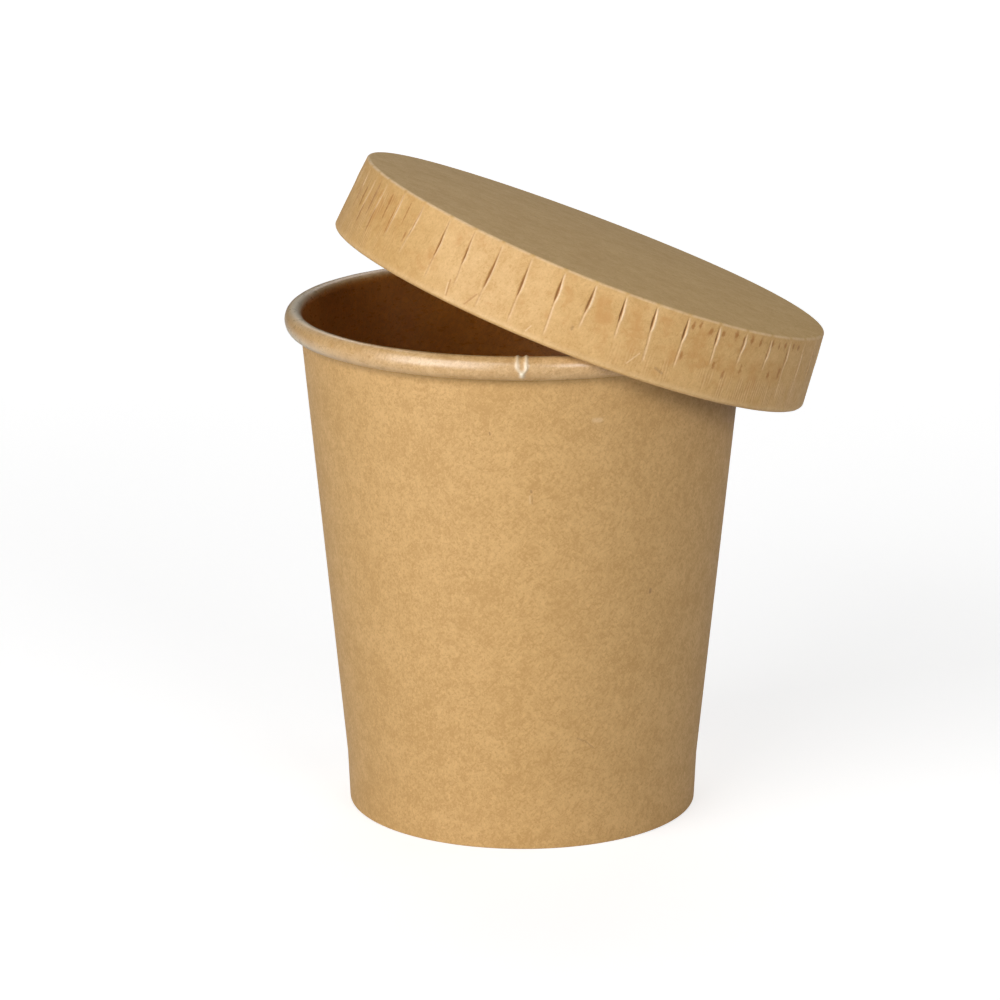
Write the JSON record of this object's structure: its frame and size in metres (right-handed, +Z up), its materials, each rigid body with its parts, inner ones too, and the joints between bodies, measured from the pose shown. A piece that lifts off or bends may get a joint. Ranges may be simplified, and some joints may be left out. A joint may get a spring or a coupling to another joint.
{
  "type": "paper portion cup",
  "caption": "Round tapered kraft paper cup for a portion of food, with a rolled rim and a shallow pleated paper lid that rests tilted over its mouth.",
  "frame": {"origin": "on the ground that the cup stands on, under the middle of the cup and lid together", "axes": "+Z up along the cup's axis, +X towards the side that the lid falls to, -Y towards the side with the rim's seam"},
  "size_m": [0.111, 0.103, 0.1361],
  "materials": {
    "cup_paper": "matte",
    "base_paper": "satin",
    "lid_paper": "matte"
  },
  "bodies": {
    "root": {"cup_wall": "cup_paper", "cup_base": "base_paper", "lid": "lid_paper"}
  },
  "joints": []
}
